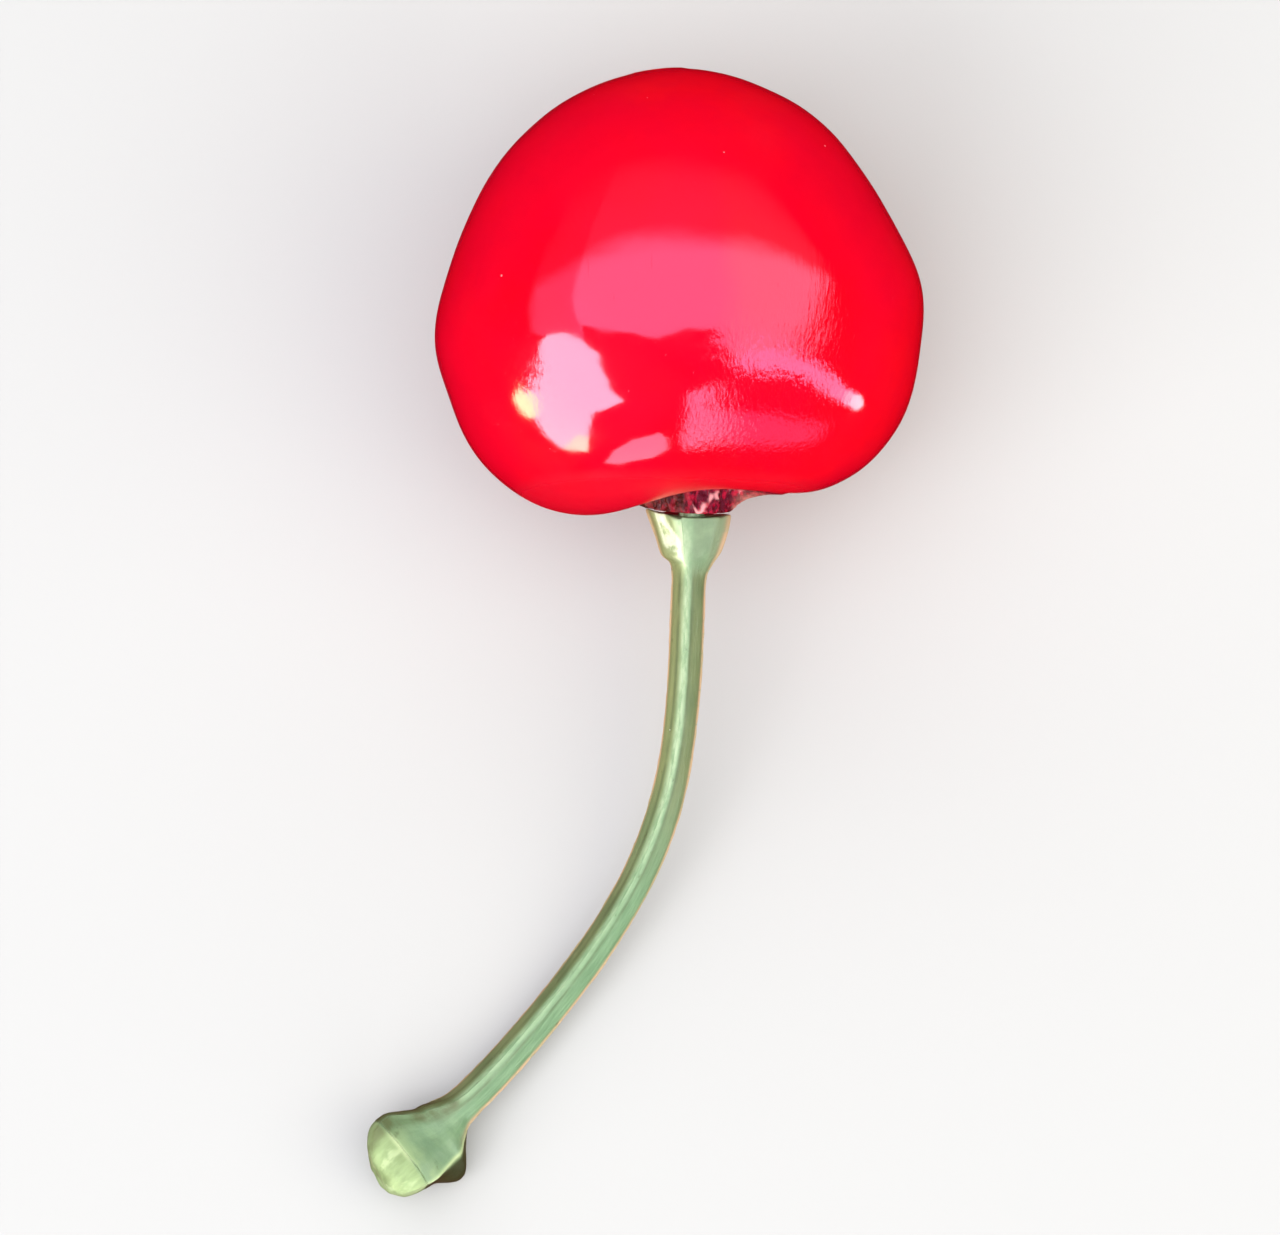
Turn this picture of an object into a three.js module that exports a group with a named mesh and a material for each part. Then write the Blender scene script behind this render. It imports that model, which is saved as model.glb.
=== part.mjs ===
// A large sweet cherry on its stalk, lying on one of its two flatter cheeks.
// The fruit is one solid: cheeks, shoulders, the stem cavity and the puckered
// neck in the cavity, with a short socket for the stalk's root. The stalk is one
// solid: root peg, flattened collar, bent three-sided shank and flared free end.
//
// Millimetres, +Z up. The stalk points along -Y and bends towards -X. The origin
// is under the middle of the whole, on the surface that it lies on.

import * as THREE from 'three';

// ---------------------------------------------------------------- dimensions

const LEAN = -0.18;           // the -X cheek is fuller than the +X cheek by twice this
const AXIS_MIDDLE = 12.15;    // the fruit's own origin, measured from the blossom end

const PEG_RADIUS = 0.7;       // the stalk's root
const SOCKET_RADIUS = 1.0;    // the hole that takes it, 0.3 mm clear all round
const SOCKET_FLOOR = 19.3;    // from the blossom end
const PEG_LENGTH = 3.9;
const COLLAR_FACE = 23.65;    // the collar's flat face, from the blossom end
const NECK_CLEARANCE = 0.3;   // from the neck's top to the collar's face

const RINGS_PER_SPAN = [4, 3, 3, 3, 3, 3, 3, 3, 4, 3, 2, 2, 2, 2]; // along the profile
const FRUIT_SECTORS = 54;
const STALK_SIDES = 16;

// The half outline of the fruit through its full cheeks, as the control net of a
// uniform cubic B-spline: [radius, distance from the blossom end]. It runs from
// the blossom end over cheek and shoulder, down the cavity and up its neck.
const OUTLINE_NET = [
  [0.0, -0.369], [4.69, 0.739], [8.571, 3.395], [10.776, 6.891], [12.348, 10.385],
  [13.282, 13.235], [12.599, 16.091], [11.782, 19.456], [8.812, 22.572], [5.302, 23.47],
  [3.3, 22.25], [2.95, 20.75], [2.35, 20.35], [2.08, 21.7], [1.96, 23.35], [1.94, 25.0],
];
// The same through the flatter cheeks, where the cavity's rim dips.
const FLAT_NET = [
  [0.0, -0.31], [4.3, 0.62], [7.75, 2.8], [9.95, 5.7], [11.15, 8.8],
  [11.6, 11.9], [11.0, 15.2], [10.05, 18.5], [7.75, 21.35], [4.5, 22.75],
  [2.85, 21.9], [2.5, 20.7], [1.9, 20.35], [1.58, 21.7], [1.49, 23.35], [1.47, 25.0],
];
const RIM_AT = 9.1;           // spline parameter of the cavity's rim

// Direction of the stalk's end of the fruit's axis, before seating.
const FRUIT_AXIS = [0.105, -0.9807, -0.1655];

// Middle line of the stalk from the collar to the free end, as the control net of
// a uniform cubic B-spline, in the fruit's own coordinates.
const STALK_NET = [
  [0.57, -11.335, -2.2], [0.355, -16.073, -3.649], [0.159, -20.793, -5.125],
  [-0.469, -25.515, -6.643], [-2.175, -30.001, -7.97], [-4.824, -34.131, -8.965],
  [-7.938, -37.924, -9.663], [-11.172, -41.735, -9.446], [-15, -44.675, -8.15],
];

// Cross-sections of the stalk, [towards +X, up], clockwise from the top as seen
// looking towards the free end's back.
const COLLAR = [
  [-0.5, 1.22], [0.22, 1.04], [0.98, 0.8], [1.68, 0.42], [2.13, -0.2], [1.82, -0.75],
  [1.36, -1.12], [0.68, -1.38], [-0.05, -1.45], [-0.75, -1.38], [-1.42, -1.15],
  [-2.05, -0.78], [-2.5, -0.3], [-2.18, 0.22], [-1.62, 0.74], [-1.08, 1.1],
];
const SHANK = [
  [-0.05, 0.86], [0.24, 0.68], [0.50, 0.45], [0.72, 0.20], [0.86, -0.05], [0.75, -0.32],
  [0.55, -0.56], [0.30, -0.74], [0.00, -0.80], [-0.30, -0.74], [-0.55, -0.56],
  [-0.75, -0.32], [-0.86, -0.05], [-0.76, 0.20], [-0.56, 0.46], [-0.31, 0.70],
];
const FLARE = [
  [-0.75, 0.8], [-0.05, 0.78], [0.66, 0.7], [1.38, 0.54], [2.05, 0.02], [2.3, -1.15],
  [1.95, -2.1], [1.25, -2.55], [0.45, -2.55], [-0.25, -2.2], [-0.85, -1.6], [-1.25, -0.95],
  [-1.45, -0.35], [-1.4, 0.05], [-1.26, 0.38], [-1.04, 0.64],
];
const FREE_END = [
  [-1.78, 0.66], [-0.75, 0.86], [0.42, 0.84], [1.55, 0.7], [2.4, 0.18], [2.22, -0.95],
  [1.8, -2], [1.1, -2.75], [0.3, -3.05], [-0.6, -2.85], [-1.4, -2.25], [-1.98, -1.45],
  [-2.28, -0.62], [-2.28, -0.22], [-2.2, 0.12], [-2.03, 0.42],
];

// How much of the collar is left on its -X and +X halves, by distance from the
// collar's face. The -X half tapers faster and ends in a small step.
const COLLAR_FADE = [
  [0, 1, 1], [0.8, 0.71, 0.86], [1.64, 0.52, 0.66], [1.94, 0.46, 0.57], [2.24, 0.37, 0.43],
  [2.58, 0.11, 0.26], [3.2, 0.01, 0.05], [3.7, 0, 0.01], [4.6, 0, 0],
];
// Shank, flare and free end, by distance back from the free end.
const END_FADE = [
  [0.0, 0, 0, 1], [0.5, 0, 0, 1], [1.4, 0, 0.5, 0.5], [2.3, 0, 1, 0], [3.1, 0.45, 0.55, 0],
  [3.9, 0.88, 0.12, 0], [4.8, 1, 0, 0],
];
// A lobe under the +X rim of the flare: [corner, towards +X, up] at its fullest.
const LOBE = [[5, 0.36, -0.1], [6, 0.68, -0.12], [7, 0.55, -0.18], [8, 0.25, -0.1]];
const LOBE_AT = 2.0;          // back from the free end's section
const LOBE_REACH = 0.95;
const SHANK_GROWTH = [[0, 1], [22, 1.0], [34, 1.07], [40, 1.1]]; // scale of the shank along it
const END_ROLL = [[0, 0], [24, 3], [34, 7], [40, 9]];           // degrees about the middle line
const END_BULGE = 1.7;        // how far the lopsided dome of the free end reaches past its section
const END_MIDDLE = [0.9, -0.9]; // where the dome's top lies, [towards +X, up]
const DOME_SCALES = [0.97, 0.88, 0.72, 0.5, 0.25];              // of the section, up the dome

const SHANK_STEPS = 34;

// Seat on the surface: roll about +Y and pitch about +X, then the shift that puts
// the underside's middle on the origin. The cheek's lowest part settles flat on the
// surface, as ripe flesh does, and runs out softly into the round of the cheek.
const SEAT_ROLL = 2.703;
const SEAT_PITCH = 0.638;
const SEAT_SHIFT = [2.1620, 17.3921, 11.0434];
const SETTLED_RUN_OUT = 0.06;

// ------------------------------------------------------------------- helpers

function bspline(net, at) {
  // A point on a uniform cubic B-spline that starts and ends on its first and
  // last control points.
  const last = net.length - 1;
  const point = (i) => {
    if (i < 0) return net[0].map((v, k) => 2 * v - net[1][k]);
    if (i > last) return net[last].map((v, k) => 2 * v - net[last - 1][k]);
    return net[i];
  };
  const i = Math.min(Math.max(Math.floor(at), 0), last - 1);
  const t = at - i;
  const w = [(1 - t) ** 3, 3 * t ** 3 - 6 * t ** 2 + 4, -3 * t ** 3 + 3 * t ** 2 + 3 * t + 1, t ** 3];
  return net[0].map((_, k) => w.reduce((sum, f, j) => sum + (f * point(i - 1 + j)[k]) / 6, 0));
}

function outline(net, at) {
  // The same spline for the fruit's outlines, mirrored at the blossom end.
  const i = Math.min(Math.floor(at), net.length - 3);
  const t = at - i;
  const w = [(1 - t) ** 3, 3 * t ** 3 - 6 * t ** 2 + 4, -3 * t ** 3 + 3 * t ** 2 + 3 * t + 1, t ** 3];
  const p = [-1, 0, 1, 2].map((j) => {
    const k = i + j;
    return k < 0 ? [-net[1][0], net[1][1]] : net[k];
  });
  return [0, 1].map((k) => w.reduce((sum, f, j) => sum + (f * p[j][k]) / 6, 0));
}

function table(rows, at, column = 1) {
  // Monotone cubic through the rows of a table.
  const n = rows.length;
  if (at <= rows[0][0]) return rows[0][column];
  if (at >= rows[n - 1][0]) return rows[n - 1][column];
  const h = [], d = [];
  for (let i = 0; i < n - 1; i++) {
    h.push(rows[i + 1][0] - rows[i][0]);
    d.push((rows[i + 1][column] - rows[i][column]) / h[i]);
  }
  const slope = (i) => {
    if (i === 0) return d[0];
    if (i === n - 1) return d[n - 2];
    if (d[i - 1] * d[i] <= 0) return 0;
    const a = 2 * h[i] + h[i - 1], b = h[i] + 2 * h[i - 1];
    return (a + b) / (a / d[i - 1] + b / d[i]);
  };
  let i = 0;
  while (at > rows[i + 1][0]) i++;
  const t = (at - rows[i][0]) / h[i];
  return (2 * t ** 3 - 3 * t ** 2 + 1) * rows[i][column] + (t ** 3 - 2 * t ** 2 + t) * h[i] * slope(i)
    + (-2 * t ** 3 + 3 * t ** 2) * rows[i + 1][column] + (t ** 3 - t ** 2) * h[i] * slope(i + 1);
}

const smooth = (a, b, x) => {
  const t = Math.min(Math.max((x - a) / (b - a), 0), 1);
  return t * t * (3 - 2 * t);
};

function weld(geometry) {
  // Shares coincident corners and drops the faces that close up at the poles.
  const from = geometry.getAttribute('position');
  const index = geometry.getIndex();
  const found = new Map(), places = [], remap = [];
  for (let i = 0; i < from.count; i++) {
    const p = [from.getX(i), from.getY(i), from.getZ(i)];
    const key = p.map((v) => Math.round(v * 2000)).join(',');
    if (!found.has(key)) {
      found.set(key, places.length / 3);
      places.push(...p);
    }
    remap.push(found.get(key));
  }
  const faces = [];
  for (let i = 0; i < index.count; i += 3) {
    const [a, b, c] = [0, 1, 2].map((k) => remap[index.getX(i + k)]);
    if (a !== b && b !== c && c !== a) faces.push(a, b, c);
  }
  const made = new THREE.BufferGeometry();
  made.setAttribute('position', new THREE.Float32BufferAttribute(places, 3));
  made.setIndex(faces);
  made.computeVertexNormals();
  return made;
}

// ------------------------------------------------------------- middle lines

const axis = new THREE.Vector3(...FRUIT_AXIS).normalize();
const across = new THREE.Vector3(1, 0, 0).addScaledVector(axis, -axis.x).normalize();
const upward = new THREE.Vector3().crossVectors(axis, across);

// The stalk's middle line as many short steps, for places by length along it.
const FINE = 800;
const line = [];
const run = [0];
for (let i = 0; i <= FINE; i++) {
  line.push(new THREE.Vector3(...bspline(STALK_NET, (i / FINE) * (STALK_NET.length - 1))));
  if (i) run.push(run[i - 1] + line[i].distanceTo(line[i - 1]));
}
const STALK_LENGTH = run[FINE];

function along(s) {
  // Place and directions of the middle line at length s from the collar's face.
  // Before the collar and past the free end it runs straight on.
  const c = Math.min(Math.max(s, 0), STALK_LENGTH);
  let i = 1;
  while (i < FINE && run[i] < c) i++;
  const f = (c - run[i - 1]) / (run[i] - run[i - 1]);
  const place = line[i - 1].clone().lerp(line[i], f);
  const lo = Math.max(i - 4, 0), hi = Math.min(i + 3, FINE);
  const t = line[hi].clone().sub(line[lo]).normalize();
  const n = new THREE.Vector3(0, 0, 1).addScaledVector(t, -t.z).normalize();
  const b = new THREE.Vector3().crossVectors(n, t);
  place.addScaledVector(t, s - c);
  const roll = THREE.MathUtils.degToRad(table(END_ROLL, c));
  const up = n.clone().multiplyScalar(Math.cos(roll)).addScaledVector(b, -Math.sin(roll));
  const side = b.clone().multiplyScalar(Math.cos(roll)).addScaledVector(n, Math.sin(roll));
  return { place, t, up, side };
}

const root = along(0);

// --------------------------------------------------------------------- fruit

function fruitPoint([at, wide, deep], phi) {
  // phi is 0 over the +X cheek and 90 degrees over the upper flat cheek. wide and
  // deep are the outline's points through the full and through the flatter cheeks.
  const c = Math.cos(phi), s = Math.sin(phi);
  const inner = smooth(RIM_AT + 1.2, RIM_AT + 3.4, at);
  const rim = Math.exp(-(((at - RIM_AT) / 1.6) ** 2));
  const turn = s * s * (1 - rim * c * c);
  const x = wide[0] * c + LEAN * (wide[0] / 13) ** 2 * c * c;
  const z = deep[0] * s;
  const u = wide[1] + (deep[1] - wide[1]) * turn;
  const own = axis.clone().multiplyScalar(u - AXIS_MIDDLE).addScaledVector(across, x).addScaledVector(upward, z);
  const led = root.place.clone().addScaledVector(root.t, u - COLLAR_FACE)
    .addScaledVector(root.side, x).addScaledVector(root.up, z);
  return own.lerp(led, inner);
}

function fruitGeometry() {
  const profile = [];
  RINGS_PER_SPAN.forEach((count, span) => {
    for (let k = 0; k < count; k++) {
      const at = span + k / count;
      profile.push([at, outline(OUTLINE_NET, at), outline(FLAT_NET, at)]);
    }
  });
  profile[0] = [0, [0, 0], [0, 0]];
  const spans = RINGS_PER_SPAN.length;
  const [wide] = outline(OUTLINE_NET, spans), [deep] = outline(FLAT_NET, spans);
  const top = COLLAR_FACE - NECK_CLEARANCE;
  profile.push([spans, [wide, top], [deep, top]], [spans, [wide - 0.12, top], [deep - 0.12, top]]);
  for (const [r, u] of [[SOCKET_RADIUS, top], [SOCKET_RADIUS, SOCKET_FLOOR], [0, SOCKET_FLOOR]]) {
    profile.push([spans, [r, u], [r, u]]);
  }
  const lathe = new THREE.LatheGeometry(profile.map(([, [r, u]]) => new THREE.Vector2(r, u)), FRUIT_SECTORS);
  const places = lathe.getAttribute('position');
  const rows = profile.length;
  for (let i = 0; i < places.count; i++) {
    const phi = (Math.floor(i / rows) % FRUIT_SECTORS) * ((2 * Math.PI) / FRUIT_SECTORS);
    const p = fruitPoint(profile[i % rows], phi);
    places.setXYZ(i, p.x, p.y, p.z);
  }
  lathe.deleteAttribute('uv');
  lathe.deleteAttribute('normal');
  return weld(lathe);
}

// --------------------------------------------------------------------- stalk

function sectionAt(s) {
  // The stalk's cross-section at length s from the collar's face.
  const [minus, plus] = [1, 2].map((k) => table(COLLAR_FADE, s, k));
  const back = STALK_LENGTH - s;
  const lobe = Math.exp(-(((back - LOBE_AT) / LOBE_REACH) ** 2));
  const [shank, flare, end] = [1, 2, 3].map((k) => table(END_FADE, back, k));
  const grow = table(SHANK_GROWTH, s);
  return SHANK.map((_, k) => {
    const collar = minus + (plus - minus) * smooth(-1, 1, COLLAR[k][0]);
    const swell = LOBE.find(([corner]) => corner === k) || [k, 0, 0];
    return [0, 1].map((j) => {
      const far = shank * grow * SHANK[k][j] + flare * FLARE[k][j] + end * FREE_END[k][j];
      return collar * COLLAR[k][j] + (1 - collar) * far + lobe * swell[j + 1];
    });
  });
}

function stalkGeometry() {
  const peg = Array.from({ length: STALK_SIDES }, (_, k) => {
    const a = (2 * Math.PI * k) / STALK_SIDES;
    return [PEG_RADIUS * Math.sin(a), PEG_RADIUS * Math.cos(a)];
  });
  const stations = [[-PEG_LENGTH, peg], [-PEG_LENGTH / 2, peg], [0, peg]];
  const at = [0, 0.4, 0.8, 1.2, 1.64, 1.94, 2.24, 2.42, 2.6, 2.9, 3.2, 3.7, 4.4];
  for (const s of at) stations.push([s, sectionAt(s)]);
  const first = 4.4, last = STALK_LENGTH - 4.8;
  for (let k = 1; k <= SHANK_STEPS; k++) {
    const s = first + ((last - first) * k) / SHANK_STEPS;
    stations.push([s, sectionAt(s)]);
  }
  for (const back of [4.3, 3.9, 3.5, 3.1, 2.7, 2.3, 1.85, 1.4, 0.95, 0.5, 0]) {
    stations.push([STALK_LENGTH - back, sectionAt(STALK_LENGTH - back)]);
  }
  const beside = (k, j) => [1, 15].map((d) => FREE_END[(k + d) % STALK_SIDES][j]).reduce((x, y) => x + y, 0);
  const domed = (scale) => FREE_END.map((corner, k) => [0, 1].map((j) => {
    const rounding = 0.35 * smooth(0, 0.35, 1 - scale);
    const place = corner[j] * (1 - rounding) + (beside(k, j) / 2) * rounding;
    return place * scale + END_MIDDLE[j] * (1 - scale);
  }));
  for (const scale of DOME_SCALES) {
    stations.push([STALK_LENGTH + END_BULGE * (1 - scale ** 2) ** 0.55, domed(scale)]);
  }
  const rows = stations.length;
  const tube = new THREE.CylinderGeometry(1, 1, 1, STALK_SIDES, rows - 1, false);
  const places = tube.getAttribute('position');
  const torso = rows * (STALK_SIDES + 1);
  for (let i = 0; i < places.count; i++) {
    let row, k = null;
    if (i < torso) {
      row = Math.floor(i / (STALK_SIDES + 1));
      k = (i % (STALK_SIDES + 1)) % STALK_SIDES;
    } else {
      row = places.getY(i) > 0 ? 0 : rows - 1;
      if (Math.hypot(places.getX(i), places.getZ(i)) > 0.5) {
        k = Math.round((Math.atan2(places.getX(i), places.getZ(i)) / (2 * Math.PI)) * STALK_SIDES + STALK_SIDES) % STALK_SIDES;
      }
    }
    const [s, section] = stations[row];
    let [b, n] = k === null ? [0, 0] : section[k];
    let shift = 0;
    if (k === null && row) {
      [b, n] = END_MIDDLE;
      shift = STALK_LENGTH + END_BULGE - s;
    }
    const frame = along(s);
    const p = frame.place.addScaledVector(frame.side, b).addScaledVector(frame.up, n)
      .addScaledVector(frame.t, shift);
    places.setXYZ(i, p.x, p.y, p.z);
  }
  tube.deleteAttribute('uv');
  tube.deleteAttribute('normal');
  return weld(tube);
}

// ------------------------------------------------------------------ assembly

const seat = new THREE.Matrix4()
  .makeRotationFromEuler(new THREE.Euler(
    THREE.MathUtils.degToRad(SEAT_PITCH), THREE.MathUtils.degToRad(SEAT_ROLL), 0,
  ))
  .setPosition(...SEAT_SHIFT);

function settled(geometry) {
  // Lays what would reach under the surface flat on it.
  const places = geometry.getAttribute('position');
  for (let i = 0; i < places.count; i++) {
    const z = places.getZ(i);
    if (z >= SETTLED_RUN_OUT) continue;
    places.setZ(i, z <= -SETTLED_RUN_OUT ? 0 : (z + SETTLED_RUN_OUT) ** 2 / (4 * SETTLED_RUN_OUT));
  }
  geometry.computeVertexNormals();
  return geometry;
}

const fruit = new THREE.Mesh(
  settled(fruitGeometry().applyMatrix4(seat)),
  new THREE.MeshStandardMaterial({ color: 0xe0061c, roughness: 0.16, metalness: 0 }),
);
fruit.name = 'fruit';

const stalk = new THREE.Mesh(
  stalkGeometry().applyMatrix4(seat),
  new THREE.MeshStandardMaterial({ color: 0x8fb583, roughness: 0.45, metalness: 0 }),
);
stalk.name = 'stalk';

const group = new THREE.Group();
group.add(fruit, stalk);

export default group;
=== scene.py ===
"""Looks of the cherry on its stalk: finely modelled fruit and stalk on a pale floor."""

import math

import bpy
import numpy as np
from mathutils import Matrix, Vector


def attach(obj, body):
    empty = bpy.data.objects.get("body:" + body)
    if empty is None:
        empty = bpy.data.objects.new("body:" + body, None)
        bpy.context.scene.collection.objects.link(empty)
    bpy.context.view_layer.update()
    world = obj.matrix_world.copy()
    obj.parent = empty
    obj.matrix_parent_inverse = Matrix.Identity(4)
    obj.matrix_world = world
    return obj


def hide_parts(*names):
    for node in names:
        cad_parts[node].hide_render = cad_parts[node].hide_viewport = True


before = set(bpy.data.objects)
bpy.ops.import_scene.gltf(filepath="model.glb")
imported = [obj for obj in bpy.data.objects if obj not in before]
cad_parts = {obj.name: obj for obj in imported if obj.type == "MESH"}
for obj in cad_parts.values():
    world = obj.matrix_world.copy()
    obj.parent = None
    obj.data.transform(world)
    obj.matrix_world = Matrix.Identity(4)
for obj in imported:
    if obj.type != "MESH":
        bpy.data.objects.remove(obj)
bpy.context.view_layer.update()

MM = 0.001
rng = np.random.default_rng(7)

# ------------------------------------------------------------------ dimensions
# Millimetres, the same numbers as the CAD part.

LEAN = -0.18
AXIS_MIDDLE = 12.15
PEG_RADIUS = 0.7
SOCKET_RADIUS = 1.0
SOCKET_FLOOR = 19.3
PEG_LENGTH = 3.9
COLLAR_FACE = 23.65
OUTLINE_NET = np.array([
    [0.0, -0.369], [4.69, 0.739], [8.571, 3.395], [10.776, 6.891], [12.348, 10.385],
    [13.282, 13.235], [12.599, 16.091], [11.782, 19.456], [8.812, 22.572], [5.302, 23.47],
    [3.3, 22.25], [2.95, 20.75], [2.35, 20.35], [2.08, 21.7], [1.96, 23.35], [1.94, 25.0],
])
FLAT_NET = np.array([
    [0.0, -0.31], [4.3, 0.62], [7.75, 2.8], [9.95, 5.7], [11.15, 8.8],
    [11.6, 11.9], [11.0, 15.2], [10.05, 18.5], [7.75, 21.35], [4.5, 22.75],
    [2.85, 21.9], [2.5, 20.7], [1.9, 20.35], [1.58, 21.7], [1.49, 23.35], [1.47, 25.0],
])
RIM_AT = 9.1
FRUIT_AXIS = np.array([0.105, -0.9807, -0.1655])
STALK_NET = np.array([
    [0.57, -11.335, -2.2], [0.355, -16.073, -3.649], [0.159, -20.793, -5.125],
    [-0.469, -25.515, -6.643], [-2.175, -30.001, -7.97], [-4.824, -34.131, -8.965],
    [-7.938, -37.924, -9.663], [-11.172, -41.735, -9.446], [-15, -44.675, -8.15],
])
COLLAR = np.array([
    [-0.50, 1.22], [0.22, 1.04], [0.98, 0.80], [1.68, 0.42], [2.13, -0.20], [1.82, -0.75],
    [1.36, -1.12], [0.68, -1.38], [-0.05, -1.45], [-0.75, -1.38], [-1.42, -1.15],
    [-2.05, -0.78], [-2.50, -0.30], [-2.18, 0.22], [-1.62, 0.74], [-1.08, 1.10],
])
SHANK = np.array([
    [-0.05, 0.86], [0.24, 0.68], [0.50, 0.45], [0.72, 0.20], [0.86, -0.05], [0.75, -0.32],
    [0.55, -0.56], [0.30, -0.74], [0.00, -0.80], [-0.30, -0.74], [-0.55, -0.56],
    [-0.75, -0.32], [-0.86, -0.05], [-0.76, 0.20], [-0.56, 0.46], [-0.31, 0.70],
])
FLARE = np.array([
    [-0.75, 0.80], [-0.05, 0.78], [0.66, 0.70], [1.38, 0.54], [2.05, 0.02], [2.30, -1.15],
    [1.95, -2.10], [1.25, -2.55], [0.45, -2.55], [-0.25, -2.20], [-0.85, -1.60],
    [-1.25, -0.95], [-1.45, -0.35], [-1.40, 0.05], [-1.26, 0.38], [-1.04, 0.64],
])
FREE_END = np.array([
    [-1.78, 0.66], [-0.75, 0.86], [0.42, 0.84], [1.55, 0.70], [2.40, 0.18], [2.22, -0.95],
    [1.80, -2.00], [1.10, -2.75], [0.30, -3.05], [-0.60, -2.85], [-1.40, -2.25],
    [-1.98, -1.45], [-2.28, -0.62], [-2.28, -0.22], [-2.20, 0.12], [-2.03, 0.42],
])
COLLAR_FADE = np.array([
    [0, 1, 1], [0.8, 0.71, 0.86], [1.64, 0.52, 0.66], [1.94, 0.46, 0.57], [2.24, 0.37, 0.43],
    [2.58, 0.11, 0.26], [3.2, 0.01, 0.05], [3.7, 0, 0.01], [4.6, 0, 0],
])
LOBE = {5: (0.36, -0.1), 6: (0.68, -0.12), 7: (0.55, -0.18), 8: (0.25, -0.1)}
LOBE_AT = 2.0
LOBE_REACH = 0.95
END_FADE = np.array([
    [0.0, 0, 0, 1], [0.5, 0, 0, 1], [1.4, 0, 0.5, 0.5], [2.3, 0, 1, 0], [3.1, 0.45, 0.55, 0],
    [3.9, 0.88, 0.12, 0], [4.8, 1, 0, 0],
])
SHANK_GROWTH = np.array([[0, 1], [22, 1.0], [34, 1.07], [40, 1.1]])
END_ROLL = np.array([[0, 0], [24, 3], [34, 7], [40, 9]])
END_MIDDLE = np.array([0.9, -0.9])
END_BULGE = 1.7
SEAT_ROLL = 2.703
SEAT_PITCH = 0.638
SEAT_SHIFT = np.array([2.1620, 17.3921, 11.0434])
SETTLED_RUN_OUT = 0.06


# --------------------------------------------------------------------- helpers

def weights(t):
    return np.stack([(1 - t) ** 3, 3 * t ** 3 - 6 * t ** 2 + 4, -3 * t ** 3 + 3 * t ** 2 + 3 * t + 1, t ** 3]) / 6


def bspline(net, at):
    """Points on a uniform cubic B-spline that starts and ends on its first and last control points."""
    pad = np.vstack([2 * net[0] - net[1], net, 2 * net[-1] - net[-2]])
    i = np.clip(np.floor(at).astype(int), 0, len(net) - 2)
    w = weights(at - i)
    return sum(w[j][:, None] * pad[i + j] for j in range(4))


def outline(net, at):
    """The same for the fruit's outlines, mirrored at the blossom end."""
    pad = np.vstack([[-net[1][0], net[1][1]], net])
    i = np.minimum(np.floor(at).astype(int), len(net) - 3)
    w = weights(at - i)
    return sum(w[j][:, None] * pad[i + j] for j in range(4))


def table(rows, at, column=1):
    """Monotone cubic through the rows of a table."""
    x, y = rows[:, 0], rows[:, column]
    h, d = np.diff(x), np.diff(y) / np.diff(x)
    m = np.zeros(len(x))
    m[0], m[-1] = d[0], d[-1]
    for i in range(1, len(x) - 1):
        if d[i - 1] * d[i] > 0:
            a, b = 2 * h[i] + h[i - 1], h[i] + 2 * h[i - 1]
            m[i] = (a + b) / (a / d[i - 1] + b / d[i])
    q = np.clip(at, x[0], x[-1])
    i = np.clip(np.searchsorted(x, q, side="left") - 1, 0, len(h) - 1)
    t = (q - x[i]) / h[i]
    return ((2 * t ** 3 - 3 * t ** 2 + 1) * y[i] + (t ** 3 - 2 * t ** 2 + t) * h[i] * m[i]
            + (-2 * t ** 3 + 3 * t ** 2) * y[i + 1] + (t ** 3 - t ** 2) * h[i] * m[i + 1])


def smooth(a, b, x):
    t = np.clip((np.asarray(x, float) - a) / (b - a), 0, 1)
    return t * t * (3 - 2 * t)


def unit(v):
    return v / np.linalg.norm(v, axis=-1, keepdims=True)


def waves(points, count, shortest, longest, seed):
    """A smooth random field over space, about -1 to 1, from plane waves."""
    r = np.random.default_rng(seed)
    total = np.zeros(points.shape[:-1])
    for _ in range(count):
        k = unit(r.normal(size=3)) * 2 * math.pi / r.uniform(shortest, longest)
        total += np.cos(points @ k + r.uniform(0, 2 * math.pi))
    return total / math.sqrt(count)


def noise_along(s, spacing, seed):
    """Value noise along a line, -1 to 1."""
    r = np.random.default_rng(seed)
    values = r.uniform(-1, 1, 4096)
    x = np.asarray(s) / spacing + 64
    i = np.floor(x).astype(int)
    t = x - i
    t = t * t * (3 - 2 * t)
    return values[i] * (1 - t) + values[i + 1] * t


# ---------------------------------------------------------------- middle lines

axis = unit(FRUIT_AXIS)
across = unit(np.array([1.0, 0, 0]) - axis[0] * axis)
upward = np.cross(axis, across)

FINE = 8000
_at = np.linspace(0, len(STALK_NET) - 1, FINE + 1)
line = bspline(STALK_NET, _at)
run = np.concatenate([[0], np.cumsum(np.linalg.norm(np.diff(line, axis=0), axis=1))])
STALK_LENGTH = run[-1]
tangent = unit(np.gradient(line, run, axis=0))


def along(s):
    """Places and directions of the stalk's middle line at lengths s from the collar's face."""
    s = np.atleast_1d(np.asarray(s, float))
    c = np.clip(s, 0, STALK_LENGTH)
    place = np.stack([np.interp(c, run, line[:, k]) for k in range(3)], -1)
    t = unit(np.stack([np.interp(c, run, tangent[:, k]) for k in range(3)], -1))
    n = unit(np.array([0, 0, 1.0]) - t[:, 2:3] * t)
    b = np.cross(n, t)
    place = place + t * (s - c)[:, None]
    roll = np.radians(table(END_ROLL, c))[:, None]
    up = n * np.cos(roll) - b * np.sin(roll)
    side = b * np.cos(roll) + n * np.sin(roll)
    return place, t, up, side


ROOT = [v[0] for v in along(0.0)]


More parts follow.
